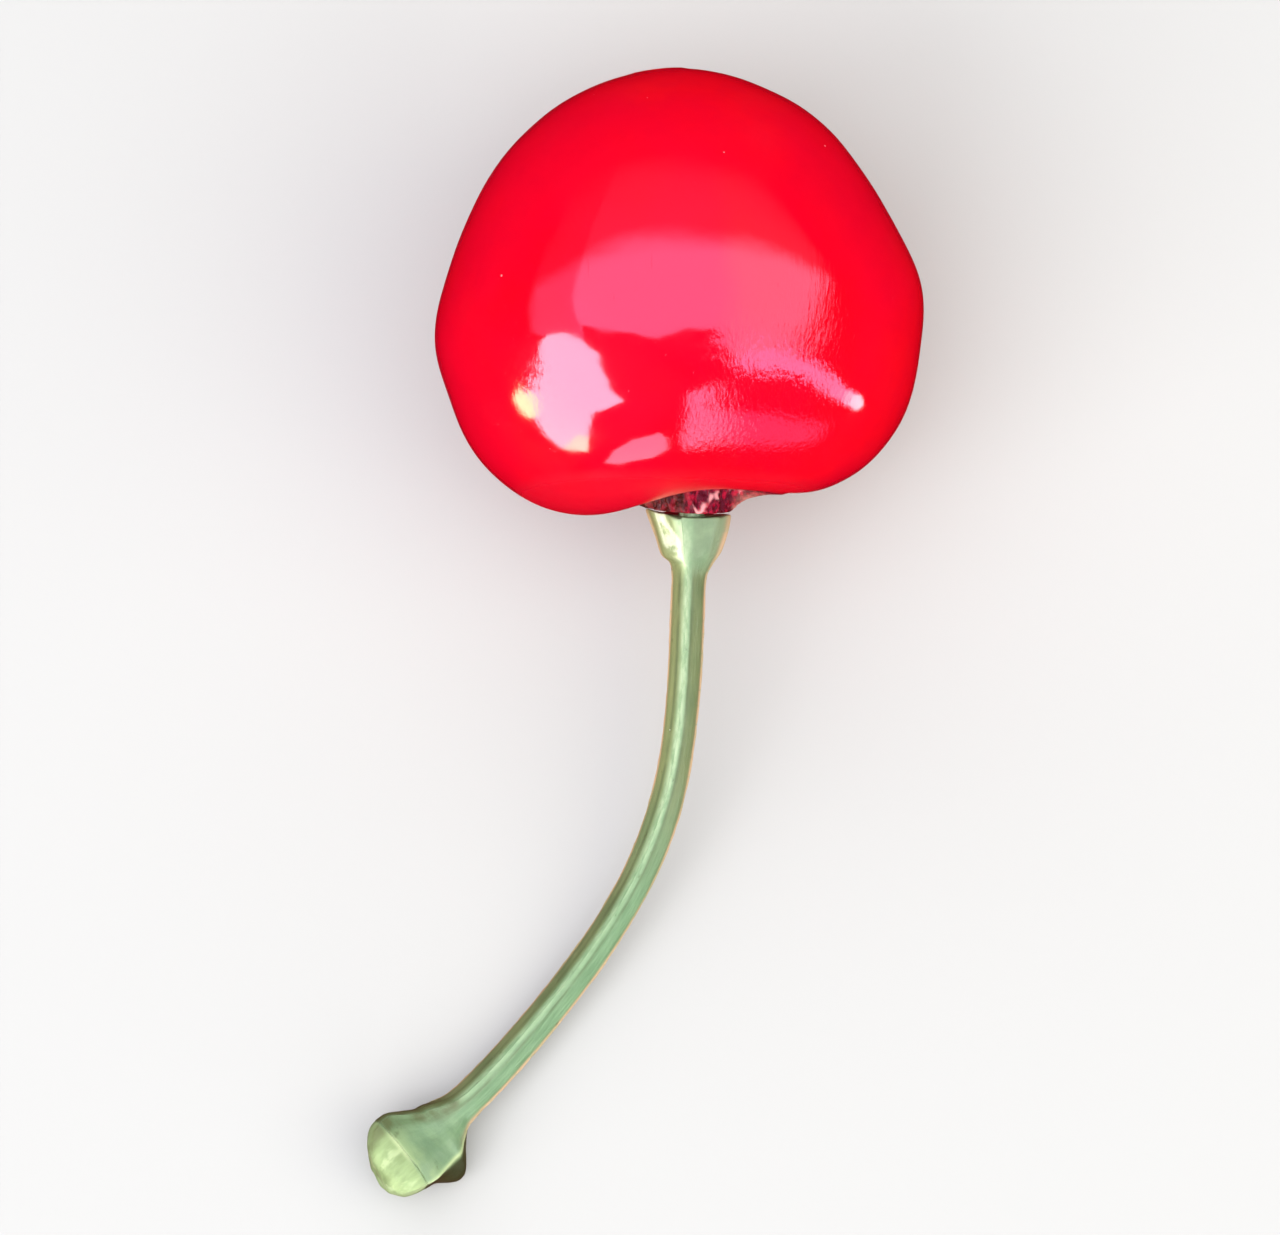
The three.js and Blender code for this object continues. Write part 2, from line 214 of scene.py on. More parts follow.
def seat_turn():
    a, b = math.radians(SEAT_PITCH), math.radians(SEAT_ROLL)
    rx = np.array([[1, 0, 0], [0, math.cos(a), -math.sin(a)], [0, math.sin(a), math.cos(a)]])
    ry = np.array([[math.cos(b), 0, math.sin(b)], [0, 1, 0], [-math.sin(b), 0, math.cos(b)]])
    return rx @ ry


def seated(points):
    """From the fruit's own coordinates to the place where the cherry lies."""
    return points @ seat_turn().T + SEAT_SHIFT


def grid_mesh(name, grid, closed_start, closed_end):
    """A smooth closed mesh from rings of points, shape (rings, around, 3), in mm."""
    rings, around, _ = grid.shape
    points = grid.reshape(-1, 3) * MM
    i = np.arange(rings - 1)[:, None] * around
    k = np.arange(around)[None]
    k2 = (k + 1) % around
    quads = np.stack([i + k, i + k2, i + around + k2, i + around + k], -1).reshape(-1, 4)
    extra, tris = [], []
    if closed_start:
        c = len(points) + len(extra)
        extra.append(points[:around].mean(0))
        tris += [(c, (j + 1) % around, j) for j in range(around)]
    if closed_end:
        c = len(points) + len(extra)
        base = (rings - 1) * around
        extra.append(points[base:].mean(0))
        tris += [(c, base + j, base + (j + 1) % around) for j in range(around)]
    if extra:
        points = np.vstack([points, np.array(extra)])
    mesh = bpy.data.meshes.new(name)
    mesh.from_pydata(points.tolist(), [], quads.tolist() + tris)
    mesh.validate()
    mesh.update()
    mesh.shade_smooth()
    made = bpy.data.objects.new(name, mesh)
    bpy.context.scene.collection.objects.link(made)
    return made


def give(mesh, name, values, kind="FLOAT"):
    """A named attribute of the points, for the materials."""
    count = len(mesh.vertices)
    values = np.asarray(values, float)
    width = 1 if kind == "FLOAT" else 3
    flat = values.reshape(-1, width)
    if len(flat) < count:
        flat = np.vstack([flat, np.repeat(flat[-1:], count - len(flat), 0)])
    made = mesh.attributes.new(name, kind, "POINT")
    made.data.foreach_set("value" if kind == "FLOAT" else "vector", flat[:count].astype(np.float32).ravel())


# ----------------------------------------------------------------------- fruit

def fruit_points(at, wide, deep, phi):
    """Points of the fruit, (rings, around, 3): phi is 0 over the +X cheek, 90 degrees over the upper flat cheek."""
    at = at[:, None]
    c, s = np.cos(phi)[None], np.sin(phi)[None]
    inner = smooth(RIM_AT + 1.2, RIM_AT + 3.4, at)[..., None]
    rim = np.exp(-(((at - RIM_AT) / 1.6) ** 2))
    turn = s * s * (1 - rim * c * c)
    w, d = wide[:, None, 0], deep[:, None, 0]
    # folds of the drawn-in skin: a few wandering creases into the cavity
    amount = 0.07 * smooth(9.8, 11.6, at) + 0.03 * smooth(8.9, 10.0, at)
    wander = 0.35 * (at - 10.0)
    g = (np.cos(7 * phi[None] + 2.1 - 1.3 * wander) * 0.9 + np.cos(11 * phi[None] + 0.4 + wander) * 0.7
         + 0.45 * np.cos(5 * phi[None] + 3.0 + 0.6 * wander))
    fold = -np.exp(-(g / 0.55) ** 2) + 0.25 * np.tanh(g)
    pull = 1 + amount * fold / np.maximum(w, 0.6) * (w > 0.3)
    x = (w * c + LEAN * (w / 13) ** 2 * c * c) * pull
    z = d * s * pull
    u = wide[:, None, 1] + (deep[:, None, 1] - wide[:, None, 1]) * turn
    u = u + 0.10 * smooth(12.2, 13.3, at) * (1 - smooth(13.5, 14, at)) * np.cos(5 * phi[None] + 0.7)
    own = axis * (u - AXIS_MIDDLE)[..., None] + across * x[..., None] + upward * z[..., None]
    place, t, up, side = ROOT
    led = place + t * (u - COLLAR_FACE)[..., None] + side * x[..., None] + up * z[..., None]
    return own * (1 - inner) + led * inner


def make_fruit():
    around = 272
    phi = np.arange(around) * 2 * math.pi / around
    at = np.concatenate([
        np.array([0.004, 0.02, 0.05]), np.arange(0.1, 8.0, 1 / 24), np.arange(8.0, 10.0, 1 / 26), np.arange(10.0, 14.0, 1 / 22),
        [14.0],
    ])
    wide, deep = outline(OUTLINE_NET, at), outline(FLAT_NET, at)
    # the neck is drawn up to just under the collar
    add_u = np.array([23.46, 23.56, 23.60, 23.62, 23.62, 23.60, 23.3, SOCKET_FLOOR])
    add_w = np.array([1.94, 1.90, 1.83, 1.72, 1.3, SOCKET_RADIUS, SOCKET_RADIUS - 0.02, SOCKET_RADIUS - 0.02])
    add_d = np.array([1.47, 1.43, 1.37, 1.28, 1.15, SOCKET_RADIUS, SOCKET_RADIUS - 0.02, SOCKET_RADIUS - 0.02])
    wide = np.vstack([wide, np.stack([add_w, add_u], -1)])
    deep = np.vstack([deep, np.stack([add_d, add_u], -1)])
    rings = np.concatenate([at, np.full(len(add_u), 14.0)])
    own = fruit_points(rings, wide, deep, phi)
    # faint unevenness of the skin, fading out into the stalk's cavity
    out = unit(own)
    body = 1 - smooth(9.0, 10.5, rings)[:, None]
    lumps = 0.030 * waves(own, 26, 6.0, 15.0, 3) + 0.010 * waves(own, 30, 2.6, 5.0, 11)
    own = own + out * (lumps * body)[..., None]
    # the blossom end's small dry scar, a shallow pit
    pole = np.linalg.norm(own + axis * AXIS_MIDDLE, axis=-1) * (1 + 0.18 * waves(own, 12, 0.8, 2.0, 61))
    own = own + axis * (0.16 * np.exp(-(pole / 0.55) ** 2) - 0.05 * np.exp(-((pole - 0.95) / 0.35) ** 2))[..., None]
    # the neck is crumpled: slanting pinched ridges, sharp on top
    place, t, up, side = ROOT
    from_axis = own - place
    length = from_axis @ t
    radial = unit(from_axis - length[..., None] * t)
    turn_by = np.arctan2(radial @ up, radial @ side)
    slant = np.stack([np.cos(turn_by) * 2.0, np.sin(turn_by) * 2.0, length * 0.55 + 0.9 * turn_by * np.sin(turn_by / 2)], -1)
    pinch = 1 - np.abs(waves(slant, 26, 0.75, 1.9, 41)) * 0.9
    small = 1 - np.abs(waves(own, 26, 0.45, 0.9, 43)) * 0.9
    crest = np.clip(0.7 * pinch + 0.3 * small, -0.6, 1)
    on_neck = smooth(10.9, 12.0, rings)[:, None] * (1 - smooth(13.98, 14.0, rings))[:, None]
    own = own + radial * (0.15 * (crest - 0.35) * on_neck)[..., None]
    # thin webs of skin run from the neck's sides to the cavity's rim
    reach = np.maximum(np.linalg.norm(from_axis - length[..., None] * t, axis=-1) - 1.94, 0)
    in_cavity = smooth(9.15, 9.5, rings)[:, None] * (1 - smooth(13.98, 14.0, rings))[:, None]
    web = np.zeros(length.shape)
    for middle, spread, fall, fall_by, slope in ((0.0, 0.42, 1.10, 0.55, 0.09), (math.pi, 0.55, 0.42, 0.50, 0.35)):
        off = np.abs((turn_by - middle + math.pi) % (2 * math.pi) - math.pi)
        low = 0.05 + fall * (1 - np.exp(-reach / fall_by)) + slope * np.maximum(reach - 0.75, 0)
        low = low + 0.05 * (1 - np.clip(crest, 0, 1)) * smooth(0.05, 0.4, reach)
        lift = np.maximum(-low - length, 0) * np.exp(-(off / spread) ** 2) * in_cavity
        web = np.maximum(web, lift)
    own = own + t * web[..., None]
    # the neck stays 0.3 mm off the collar's face, clear of its torn edge
    above = (own - place) @ t + 0.30
    own = own - t * (np.maximum(above, 0) * smooth(9.15, 9.5, rings)[:, None])[..., None]
    webbed = smooth(0.05, 0.30, web)
    web_line = webbed * np.exp(-((turn_by + 0.02) / 0.16) ** 2) * smooth(0.05, 0.3, reach)
    lies = seated(own)
    z = lies[..., 2]
    run_out = (np.maximum(z + SETTLED_RUN_OUT, 0) ** 2) / (4 * SETTLED_RUN_OUT)
    lies[..., 2] = np.where(z >= SETTLED_RUN_OUT, z, np.where(z <= -SETTLED_RUN_OUT, 0.0, run_out))
    made = grid_mesh("cherry_fruit", lies[:, ::-1], True, True)
    count = np.broadcast_to(rings[:, None], lies.shape[:2])
    # dimple: the cavity, where the skin is painted darker as shade
    give(made.data, "dimple", smooth(8.6, 10.6, count) - 0 * count)
    # neck: the neck and its webs, whose colour is painted dark as shade
    give(made.data, "neck", np.maximum(smooth(10.9, 11.9, count), webbed[:, ::-1]))
    give(made.data, "web_line", web_line[:, ::-1])
    give(made.data, "scar", (1 - smooth(0.30, 0.62, pole))[:, ::-1])
    # rimline: skin near the stalk, painted darker as shade and made duller
    near_stalk = smooth(9.95, 10.7, -own[..., 1]) * (1 - smooth(9.6, 10.4, count))
    give(made.data, "rimline", near_stalk[:, ::-1])
    right = np.cos(turn_by) * 2.0
    # crest: the tops of the neck's folds, where highlights are painted
    give(made.data, "crest", (smooth(0.66, 0.90, crest) * smooth(10.9, 12.0, count) * (0.06 + 0.94 * smooth(-0.2, 0.4, right)))[:, ::-1])
    # brown: the neck's left side, painted darker and browner as shade; crumbs lie there too
    give(made.data, "brown", (smooth(-0.2, 0.6, -right))[:, ::-1])
    around_at = np.degrees(np.broadcast_to(phi[None], lies.shape[:2]))
    # lip: a line along the cavity's rim, where a highlight is painted
    lip = np.exp(-((count - 9.20) / 0.055) ** 2) * smooth(30, 48, around_at) * (1 - smooth(104, 122, around_at))
    give(made.data, "lip", lip[:, ::-1])
    give(made.data, "foot", (np.exp(-((count - 11.5) / 0.4) ** 2))[:, ::-1])
    give(made.data, "own", own[:, ::-1], "FLOAT_VECTOR")
    return made


# ----------------------------------------------------------------------- stalk

def arc_positions():
    """Where round the stalk's section points lie, in steps of its 16 corners, closer at the edges."""
    near = [0.0, 0.05, 0.11, 0.18, 0.28, 0.42, 0.6, 0.8]
    out = []
    for a, b in ((0, 4), (4, 8), (8, 12), (12, 16)):
        middle = np.linspace(1.0, b - a - 1.0, 9)
        part = [a + v for v in near] + [a + v for v in middle] + [b - v for v in near[:0:-1]]
        out += part
    return np.array(out)


AROUND = arc_positions()


def section_weights():
    """Turns the 16 corners into smooth arcs that meet in crisp edges at 0, 4 and 12."""
    w = np.zeros((len(AROUND), 16))
    arcs = ((0, 4), (4, 12), (12, 16))
    for row, q in enumerate(AROUND):
        for a, b in arcs:
            if a <= q < b or (b == 16 and q >= a):
                i = min(int(math.floor(q)), b - 1)
                t = q - i
                h = [2 * t ** 3 - 3 * t ** 2 + 1, t ** 3 - 2 * t ** 2 + t, -2 * t ** 3 + 3 * t ** 2, t ** 3 - t ** 2]
                w[row, i % 16] += h[0]
                w[row, (i + 1) % 16] += h[2]
                for k, f in ((i, h[1]), (i + 1, h[3])):
                    if k == a:
                        w[row, (k + 1) % 16] += f
                        w[row, k % 16] -= f
                    elif k == b:
                        w[row, k % 16] += f
                        w[row, (k - 1) % 16] -= f
                    else:
                        w[row, (k + 1) % 16] += f / 2
                        w[row, (k - 1) % 16] -= f / 2
                break
    return w


def make_stalk():
    w = section_weights()
    q = AROUND
    circle = np.stack([np.sin(2 * math.pi * q / 16), np.cos(2 * math.pi * q / 16)], -1)
    s = np.concatenate([
        [0.0, 0.03, 0.07, 0.12], np.arange(0.2, 4.6, 0.09), np.arange(4.6, STALK_LENGTH - 5, 0.115),
        np.arange(STALK_LENGTH - 5, STALK_LENGTH - 0.16, 0.075), STALK_LENGTH - np.array([0.13, 0.08, 0.04, 0.015, 0.0]),
    ])
    minus, plus = table(COLLAR_FADE, s, 1)[:, None], table(COLLAR_FADE, s, 2)[:, None]
    collar = (minus + (plus - minus) * smooth(-1, 1, COLLAR[:, 0])[None])[..., None]
    back = STALK_LENGTH - s
    shank, flare, end = [table(END_FADE, back, k)[:, None, None] for k in (1, 2, 3)]
    grow = table(SHANK_GROWTH, s)[:, None, None]
    corners = collar * COLLAR + (1 - collar) * (shank * grow * SHANK + flare * FLARE + end * FREE_END)
    for k, swell in LOBE.items():
        corners[:, k] += np.exp(-((back - LOBE_AT) / LOBE_REACH) ** 2)[:, None] * np.array(swell)
    ring = np.einsum("qk,skj->sqj", w, corners)
    # the collar's flats: straight between their edges
    q_all, ring_all = np.append(q, 16.0), np.concatenate([ring, ring[:, :1]], 1)

    def at_q(v):
        i = min(int(np.searchsorted(q_all, v, side="right")) - 1, len(q_all) - 2)
        f = (v - q_all[i]) / (q_all[i + 1] - q_all[i])
        return ring_all[:, i:i + 1] * (1 - f) + ring_all[:, i + 1:i + 2] * f

    ring = ring.copy()
    for first_q, last_q in ((13.0, 15.2), (15.2, 16.0), (0.0, 2.5), (2.5, 4.0)):
        inside = (q >= first_q) & (q <= last_q)
        t = ((q[inside] - first_q) / (last_q - first_q))[None, :, None]
        flat = at_q(first_q) * (1 - t) + at_q(last_q) * t
        amount = 0.85 * (1 - smooth(1.4, 2.8, s))[:, None, None]
        ring[:, inside] = ring[:, inside] * (1 - amount) + flat * amount
    # softened edges of the collar's face and of the free end's face
    ring = ring * (1 - 0.035 * np.exp(-s / 0.05) - 0.018 * np.exp(-back / 0.05))[:, None, None]
    # the two edges carry a thin ragged fin left along the joint of the halves
    qd = lambda edge: np.abs((q - edge + 8) % 16 - 8)
    out = unit(ring - ring.mean(1, keepdims=True))
    for edge, seed in ((4, 21), (12, 22)):
        tall = 0.050 + 0.016 * noise_along(s, 0.45, seed) + 0.022 * noise_along(s, 2.1, seed + 5)
        tall *= smooth(0.0, 0.5, s) * smooth(0.0, 0.7, back)
        fin = np.exp(-(qd(edge) / 0.16) ** 2)
        ring = ring + out * (tall[:, None] * fin[None])[..., None]
    # faint unevenness along the shank, with shallow lengthways grooves on the flanks
    long = np.stack([np.broadcast_to(s[:, None] * 0.35, ring.shape[:2]), ring[..., 0] * 3, ring[..., 1] * 3], -1)
    uneven = 0.012 * waves(long, 18, 1.6, 4.5, 31) + 0.010 * np.cos(q * 2.7 + 0.6)[None] * noise_along(s, 6.0, 9)[:, None]
    free = smooth(0.4, 2.5, s)
    ring = ring + out * (uneven * free[:, None] * (1 - np.exp(-(qd(0) / 0.5) ** 2))[None])[..., None]
    # the fan's hollow upper flank behind the free end
    hollow = np.exp(-((back - 2.0) / 1.4) ** 2)[:, None] * np.exp(-((q - 2.0) / 1.25) ** 2)[None]
    ring = ring - out * (0.13 * hollow)[..., None]

    def placed(s, section):
        place, t, up, side = along(s)
        return place[:, None] + side[:, None] * section[..., 0:1] + up[:, None] * section[..., 1:2]

    body = placed(s, ring)
    # the collar's torn upper edge: a raised corner at one side, a step, and small notches
    corner = np.exp(-((q - 12.4) / 0.9) ** 2) * 0.26 + np.exp(-((q - 14.4) / 1.0) ** 2) * 0.12 + np.exp(-((q - 4.0) / 0.8) ** 2) * 0.10
    notch = 0.045 * noise_along(q, 0.55, 51) - 0.10 * np.exp(-((q - 15.5) / 0.35) ** 2) - 0.07 * np.exp(-((q - 3.1) / 0.3) ** 2)
    lift = (corner + notch)[None] * (1 - smooth(0.0, 0.9, s))[:, None]
    body = body - along(s)[1][:, None] * lift[..., None]
    peg_s = np.array([-PEG_LENGTH, -PEG_LENGTH + 0.05, -2.0, -0.3, -0.02])
    peg = np.broadcast_to(circle * PEG_RADIUS, (len(peg_s), len(q), 2)) * np.array([0.9, 1, 1, 1, 1])[:, None, None]
    peg = placed(peg_s, peg)
    # the collar's face, out from the peg
    face_k = np.array([0.0, 0.5, 0.9])
    first = ring[0]
    face = np.stack([circle * PEG_RADIUS * (1 - k) + first * k for k in face_k])
    face = placed(np.zeros(len(face_k)), face)
    face = face - along(0.0)[1][0] * ((corner + notch)[None] * face_k[:, None] ** 2)[..., None]
    # the free end: past a soft crease it rounds over in an uneven, lopsided dome
    scales = np.concatenate([[0.997, 0.99, 0.98, 0.965], np.arange(0.95, 0.05, -0.04), [0.04, 0.02]])
    past = END_BULGE * (1 - scales ** 2) ** 0.55
    last = ring[-1]
    angle = 2 * math.pi * q / 16
    basis = np.stack([np.ones_like(q)] + [f(m * angle) for m in (1, 2, 3) for f in (np.cos, np.sin)], -1)
    rounded = basis @ np.linalg.lstsq(basis, last, rcond=None)[0]
    ends, flats = [], []
    for k, p in zip(scales, past):
        m = float(smooth(0.0, 0.35, 1 - k))
        sec = (last * (1 - m) + rounded * m) * k + END_MIDDLE * (1 - k)
        ends.append(placed(np.array([STALK_LENGTH + p]), sec[None])[0])
        flats.append(sec)
    ends = np.stack(ends)
    dent = 0.07 * waves(ends * 1.0, 14, 1.2, 2.8, 77) + 0.02 * waves(ends * 1.0, 14, 0.5, 0.9, 78)
    ends = ends + (along(STALK_LENGTH)[1][0] * dent[..., None]) * smooth(0.0, 0.30, 1 - scales)[:, None, None]
    grid = np.concatenate([peg, face, body, ends])
    lies = seated(grid)
    lies[..., 2] = np.maximum(lies[..., 2], 0.002)
    made = grid_mesh("cherry_stalk", lies[:, ::-1], True, True)

    lengths = np.concatenate([peg_s, np.zeros(len(face_k)), s, STALK_LENGTH + past])
    S = np.broadcast_to(lengths[:, None], lies.shape[:2])
    Q = np.broadcast_to(q[None], lies.shape[:2])
    QD = lambda edge: np.abs((Q - edge + 8) % 16 - 8)
    fan = smooth(STALK_LENGTH - 4.2, STALK_LENGTH - 2.2, S)
    endface = smooth(STALK_LENGTH - 0.05, STALK_LENGTH + 0.25, S)
    blend = smooth(STALK_LENGTH - 1.1, STALK_LENGTH + 0.5, S + 0.5 * smooth(1.5, 3.8, Q) * (1 - smooth(4.0, 5.0, Q)))
    shut = smooth(0.0, 1.5, S - STALK_LENGTH)
    seam_l = np.exp(-(QD(12.1) / 0.36) ** 2) * (1 - 0.8 * fan)
    seam_r = np.exp(-(QD(3.9) / 0.34) ** 2) * (1 - fan)
    plain = smooth(2.3, 3.8, S) * (1 - fan)
    # grooves: dark lines either side of the ridge, painted shade
    grooves = np.maximum(np.exp(-((Q - 14.4) / 0.30) ** 2), 0.9 * np.exp(-((Q - 1.0) / 0.24) ** 2)) * plain
    # band: a dark band along the fan's upper edge, painted shade
    band = np.where(np.abs(Q - 8) > 6, smooth(13.0, 13.6, Q) + (1 - smooth(0.40, 1.45 + 0.3 * np.cos(S * 2.4), Q)) * (Q < 8), 0) * smooth(STALK_LENGTH - 5.0, STALK_LENGTH - 3.6, S) * (1 - endface)
    # edge_r: painted highlight along the fan's right edge
    edge_r = np.exp(-(QD(4) / 0.13) ** 2) * fan * (1 - endface)
    # ridge: where a pale highlight is painted along the shank's top
    ridge = np.exp(-(QD(15.8) / (0.90 - 0.15 * smooth(13.0, 22.0, S))) ** 2) * (1 - 0.75 * smooth(STALK_LENGTH - 3.6, STALK_LENGTH - 2.4, S)) * (1 - endface)
    left = smooth(12.0, 12.3, Q) * (1 - smooth(15.3, 15.9, Q)) * (1 - endface)
    right = smooth(0.5, 1.2, Q) * (1 - smooth(3.7, 4.0, Q)) * (1 - endface)
    # under: the stalk's underside, painted darker as shade
    under = smooth(4.0, 4.35, Q) * (1 - smooth(11.6, 12.0, Q))
    # shade: painted shade on the end face, at its upper left
    shade = np.where(Q < 8, 1 - smooth(0.1, 1.5, Q + 0.5 * shut), smooth(9.5, 12.5, Q)) * endface * (1 - 0.55 * smooth(0.5, 1.7, S - STALK_LENGTH))
    root = 1 - smooth(1.9, 3.4, S)
    # facet: the collar's flat facet, where a highlight is painted
    facet_right = 14.5 + 1.3 * smooth(0.2, 1.5, S)
    facet = smooth(13.1, 13.5, Q) * (1 - smooth(-0.25, 0.1, Q - facet_right)) * (1 - smooth(1.7, 2.7, S + 0.25 * (15.2 - Q)))
    strip = smooth(2.35, 2.65, Q) * (1 - smooth(3.8, 4.0, Q)) * root
    # crease and lower_rim: painted highlight lines on the end face's crease and lower edge
    crease = np.exp(-((S - STALK_LENGTH - 0.10) / 0.12) ** 2) * smooth(0.3, 1.3, Q) * (1 - smooth(1.9, 2.9, Q))
    lower_rim = np.exp(-((Q - 4.15 - 0.6 * shut) / (0.22 + 0.6 * shut)) ** 2) * smooth(STALK_LENGTH - 0.1, STALK_LENGTH + 0.1, S) * (1 - 0.6 * shut)
    rim = np.maximum(crease, lower_rim)
    for name, v in (("seam", np.maximum(seam_l, seam_r)), ("ridge", ridge), ("left", left), ("right", right),
                    ("under", under), ("endface", endface), ("root", root), ("fan", fan * (1 - endface)), ("rim", np.maximum(rim, edge_r)),
                    ("facet", facet), ("strip", strip), ("lower", smooth(13.0, 22.0, S)),
                    ("shade", shade), ("grooves", grooves), ("band", band), ("blend", blend * (1 - endface)), ("edge_left", smooth(12.0, 12.1, Q) * (1 - smooth(12.9, 13.1, Q)) * root)):
        give(made.data, name, v[:, ::-1])
    grain = np.stack([Q * 0.32, S, np.zeros_like(S)], -1)
    grain[-len(flats):] = np.concatenate([np.stack(flats) * 0.8 + [7, STALK_LENGTH + 9], np.zeros((len(flats), len(q), 1))], -1)
    give(made.data, "grain", grain[:, ::-1], "FLOAT_VECTOR")
    return made


fruit = make_fruit()
stalk = make_stalk()


# ------------------------------------------------------------------- materials

class Nodes:
    """A few short ways to add nodes to a material or world."""

    def __init__(self, tree):
        self.tree = tree
        tree.nodes.clear()

    def add(self, kind, **settings):
        node = self.tree.nodes.new(kind)
        for k, v in settings.items():
            setattr(node, k, v)
        return node

    def link(self, a, b):
        self.tree.links.new(a, b)

    def put(self, socket, value):
        if isinstance(value, bpy.types.NodeSocket):
            self.link(value, socket)
        else:
            socket.default_value = value

    def math(self, operation, a, b=None, c=None, clamp=False):
        node = self.add("ShaderNodeMath", operation=operation, use_clamp=clamp)
        for i, v in enumerate((a, b, c)):
            if v is not None:
                self.put(node.inputs[i], v)
        return node.outputs[0]

    def ramp(self, value, a, b, to_a=0.0, to_b=1.0):
        node = self.add("ShaderNodeMapRange", interpolation_type="SMOOTHSTEP")
        self.put(node.inputs[0], value)
        for i, v in zip((1, 2, 3, 4), (a, b, to_a, to_b)):
            self.put(node.inputs[i], v)
        return node.outputs[0]

    def mix(self, factor, a, b, blend="MIX"):
        node = self.add("ShaderNodeMix", data_type="RGBA", blend_type=blend)
        self.put(node.inputs[0], factor)
        self.put(node.inputs[6], a)
        self.put(node.inputs[7], b)
        return node.outputs[2]

    def noise(self, vector, scale, detail=3.0, rough=0.5, distortion=0.0):
        node = self.add("ShaderNodeTexNoise")
        self.put(node.inputs["Vector"], vector)
        node.inputs["Scale"].default_value = scale
        node.inputs["Detail"].default_value = detail
        node.inputs["Roughness"].default_value = rough
        node.inputs["Distortion"].default_value = distortion
        return node.outputs["Fac"]

    def stretched(self, vector, scale, turn=(0, 0, 0), shift=(0, 0, 0)):
        node = self.add("ShaderNodeMapping")
        self.put(node.inputs["Vector"], vector)
        node.inputs["Scale"].default_value = scale
        node.inputs["Rotation"].default_value = [math.radians(v) for v in turn]
        node.inputs["Location"].default_value = shift
        return node.outputs[0]

    def attribute(self, name, vector=False):
        node = self.add("ShaderNodeAttribute", attribute_name=name)
        return node.outputs["Vector" if vector else "Fac"]

    def bump(self, height, distance, strength=1.0, normal=None):
        node = self.add("ShaderNodeBump")
        node.inputs["Strength"].default_value = strength
        node.inputs["Distance"].default_value = distance
        self.put(node.inputs["Height"], height)
        if normal is not None:
            self.link(normal, node.inputs["Normal"])
        return node.outputs[0]

    def specks(self, vector, scale, size, share):
        """Sparse round specks, 1 inside and 0 outside."""
        node = self.add("ShaderNodeTexVoronoi", feature="F1")
        self.put(node.inputs["Vector"], vector)
        node.inputs["Scale"].default_value = scale
        split = self.add("ShaderNodeSeparateColor")
        self.link(node.outputs["Color"], split.inputs[0])
        chosen = self.math("LESS_THAN", split.outputs[0], share)
        radius = self.math("MULTIPLY_ADD", split.outputs[1], size * 0.6, size * 0.4)
        inside = self.math("LESS_THAN", node.outputs["Distance"], radius)
        return self.math("MULTIPLY", chosen, inside)


def srgb(r, g, b):
    f = lambda c: c / 12.92 if c <= 0.04045 else ((c + 0.055) / 1.055) ** 2.4
    return (f(r / 255), f(g / 255), f(b / 255), 1.0)


def new_material(name):
    made = bpy.data.materials.new(name)
    made.use_nodes = True
    return made, Nodes(made.node_tree)


